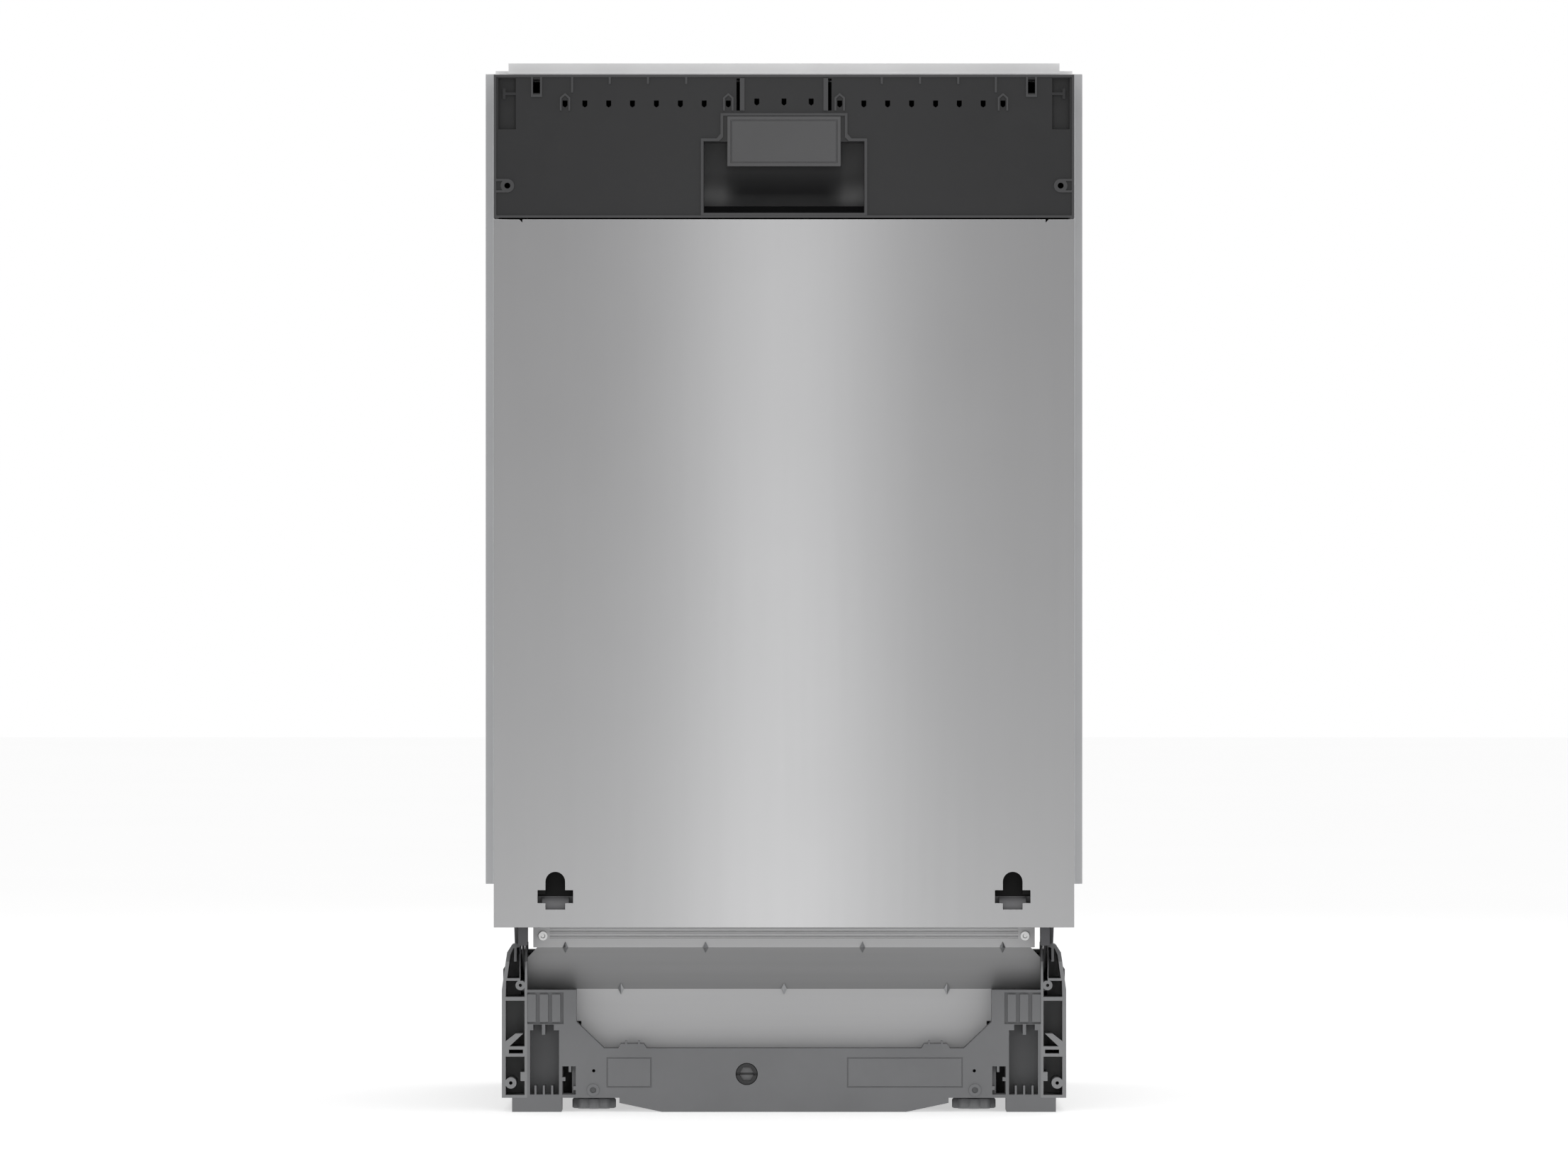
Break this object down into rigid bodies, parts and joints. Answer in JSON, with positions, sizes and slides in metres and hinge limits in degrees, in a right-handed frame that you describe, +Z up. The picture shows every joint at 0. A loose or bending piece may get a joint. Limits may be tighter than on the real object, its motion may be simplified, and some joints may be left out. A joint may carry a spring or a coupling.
{
  "type": "built-in dishwasher",
  "caption": "Fully integrated slim built-in dishwasher with drop-down door, pull-out wire baskets, spray arms and a recessed handle, made to carry a furniture door.",
  "frame": {"origin": "on the floor, under the middle of the bounding box", "axes": "+Z up, -Y out through the door, +X to the right of a person facing the door"},
  "size_m": [0.4644, 0.55, 0.815],
  "materials": {
    "stainless": "satin",
    "galvanised": "satin",
    "zinc_sheet": "satin",
    "black_plastic": "semi-gloss",
    "grey_plastic": "matte",
    "dark_plastic": "matte",
    "pale_plastic": "matte",
    "seal_rubber": "matte",
    "felt": "matte",
    "coated_wire": "satin",
    "circuit_board": "satin",
    "dark_steel": "satin"
  },
  "bodies": {
    "root": {"base_pan": "dark_plastic", "base_front": "grey_plastic", "pillar_left": "grey_plastic", "pillar_right": "grey_plastic", "plinth_sheet": "galvanised", "plinth_screws": "galvanised", "tub": "stainless", "tub_gasket": "seal_rubber", "tub_felt": "felt", "side_panel_left": "galvanised", "side_panel_right": "galvanised", "side_strip_left": "zinc_sheet", "side_strip_right": "zinc_sheet", "top_front_strip": "zinc_sheet", "top_side_rails": "galvanised", "rear_panel": "galvanised", "heat_exchanger": "pale_plastic", "sump": "dark_plastic", "circulation_pump": "black_plastic", "drain_pump": "grey_plastic", "inlet_valve": "pale_plastic", "power_module": "black_plastic", "feed_pipe": "grey_plastic", "top_shower": "grey_plastic", "filter_mesh": "stainless", "salt_container": "pale_plastic", "latch_strike": "stainless", "basket_rails": "stainless", "hinge_brackets": "galvanised", "door_springs": "galvanised", "door_ropes": "galvanised"},
    "door": {"door_panel": "stainless", "hook_catches": "dark_plastic", "control_panel": "black_plastic", "latch_cover": "black_plastic", "inner_door": "stainless", "dispenser_body": "grey_plastic", "hinge_levers": "dark_steel", "door_seal": "seal_rubber", "control_board": "circuit_board"},
    "front_foot_left": {"front_foot_left": "grey_plastic"},
    "front_foot_right": {"front_foot_right": "grey_plastic"},
    "rear_foot": {"rear_foot": "grey_plastic"},
    "rear_adjuster": {"rear_adjuster": "black_plastic"},
    "lower_spray_arm": {"lower_spray_arm": "grey_plastic"},
    "filter_cylinder": {"filter_cylinder": "grey_plastic"},
    "salt_cap": {"salt_cap": "grey_plastic"},
    "upper_basket": {"upper_basket": "coated_wire"},
    "upper_spray_arm": {"upper_spray_arm": "grey_plastic"},
    "cup_shelf": {"cup_shelf": "coated_wire"},
    "lower_basket": {"lower_basket": "coated_wire"},
    "cutlery_basket": {"cutlery_basket": "grey_plastic"},
    "front_wheels": {"front_wheels": "grey_plastic"},
    "rear_wheels": {"rear_wheels": "grey_plastic"},
    "dispenser_lid": {"dispenser_lid": "grey_plastic"},
    "rinse_cap": {"rinse_cap": "grey_plastic"},
    "latch_claw": {"latch_claw": "galvanised"},
    "button_power": {"button_power": "grey_plastic"},
    "button_program": {"button_program": "grey_plastic"},
    "button_start": {"button_start": "grey_plastic"}
  },
  "joints": [
    {"name": "door_hinge", "type": "hinge", "parent": "root", "child": "door", "pos_m": [0, -0.235, 0.164], "axis": [1, 0, 0], "range_deg": [0, 90], "deforming": ["door_springs", "door_ropes"]},
    {"name": "upper_basket_slide", "type": "slide", "parent": "root", "child": "upper_basket", "axis": [0, -1, 0], "range_m": [0, 0.33]},
    {"name": "lower_basket_slide", "type": "slide", "parent": "root", "child": "lower_basket", "axis": [0, -1, 0], "range_m": [0, 0.095]},
    {"name": "front_wheels_roll", "type": "hinge", "parent": "lower_basket", "child": "front_wheels", "pos_m": [0, -0.118, 0.195], "axis": [1, 0, 0], "range_deg": [0, 310]},
    {"name": "rear_wheels_roll", "type": "hinge", "parent": "lower_basket", "child": "rear_wheels", "pos_m": [0, 0.128, 0.195], "axis": [1, 0, 0], "range_deg": [0, 310]},
    {"name": "lower_spray_arm_spin", "type": "hinge", "parent": "root", "child": "lower_spray_arm", "pos_m": [0, 0.015, 0.21], "axis": [0, 0, 1], "continuous": true},
    {"name": "upper_spray_arm_spin", "type": "hinge", "parent": "upper_basket", "child": "upper_spray_arm", "pos_m": [0, 0.015, 0.49], "axis": [0, 0, 1], "continuous": true},
    {"name": "cup_shelf_fold", "type": "hinge", "parent": "upper_basket", "child": "cup_shelf", "pos_m": [-0.166, 0, 0.6], "axis": [0, -1, 0], "range_deg": [0, 85]},
    {"name": "cutlery_basket_lift", "type": "slide", "parent": "lower_basket", "child": "cutlery_basket", "axis": [0, 0, 1], "range_m": [0, 0.11]},
    {"name": "filter_twist", "type": "hinge", "parent": "root", "child": "filter_cylinder", "pos_m": [-0.068, 0.056, 0.15], "axis": [0, 0, 1], "range_deg": [0, 90]},
    {"name": "salt_cap_turn", "type": "hinge", "parent": "root", "child": "salt_cap", "pos_m": [0.085, 0.09, 0.17], "axis": [0, 0, 1], "range_deg": [0, 90]},
    {"name": "dispenser_lid_slide", "type": "slide", "parent": "door", "child": "dispenser_lid", "axis": [0, 0, 1], "range_m": [0, 0.045]},
    {"name": "rinse_cap_flap", "type": "hinge", "parent": "door", "child": "rinse_cap", "pos_m": [0.043, -0.2176, 0.4645], "axis": [1, 0, 0], "range_deg": [0, 90]},
    {"name": "latch_claw_swing", "type": "hinge", "parent": "door", "child": "latch_claw", "pos_m": [0, -0.25, 0.794], "axis": [1, 0, 0], "range_deg": [0, 8], "stiffness_Nm_per_rad": 0.4},
    {"name": "button_power_press", "type": "slide", "parent": "door", "child": "button_power", "axis": [0, 0, -1], "range_m": [0, 0.0012], "stiffness_N_per_m": 300},
    {"name": "button_program_press", "type": "slide", "parent": "door", "child": "button_program", "axis": [0, 0, -1], "range_m": [0, 0.0012], "stiffness_N_per_m": 300},
    {"name": "button_start_press", "type": "slide", "parent": "door", "child": "button_start", "axis": [0, 0, -1], "range_m": [0, 0.0012], "stiffness_N_per_m": 300},
    {"name": "front_foot_left_screw", "type": "slide", "parent": "root", "child": "front_foot_left", "axis": [0, 0, -1], "range_m": [0, 0.06]},
    {"name": "front_foot_right_screw", "type": "slide", "parent": "root", "child": "front_foot_right", "axis": [0, 0, -1], "range_m": [0, 0.06]},
    {"name": "rear_adjuster_turn", "type": "hinge", "parent": "root", "child": "rear_adjuster", "pos_m": [-0.029, 0, 0.0295], "axis": [0, 1, 0], "range_deg": [0, 3600]},
    {"name": "rear_foot_screw", "type": "slide", "parent": "root", "child": "rear_foot", "axis": [0, 0, -1], "range_m": [0, 0.06]}
  ],
  "couplings": [
    {"joint": "upper_basket_slide", "follows": "door_hinge", "m_per_rad": 0.21},
    {"joint": "lower_basket_slide", "follows": "door_hinge", "m_per_rad": 0.06},
    {"joint": "front_wheels_roll", "follows": "door_hinge", "ratio": 3.4091},
    {"joint": "rear_wheels_roll", "follows": "door_hinge", "ratio": 3.4091},
    {"joint": "rear_foot_screw", "follows": "rear_adjuster_turn", "m_per_rad": 0.00095}
  ]
}
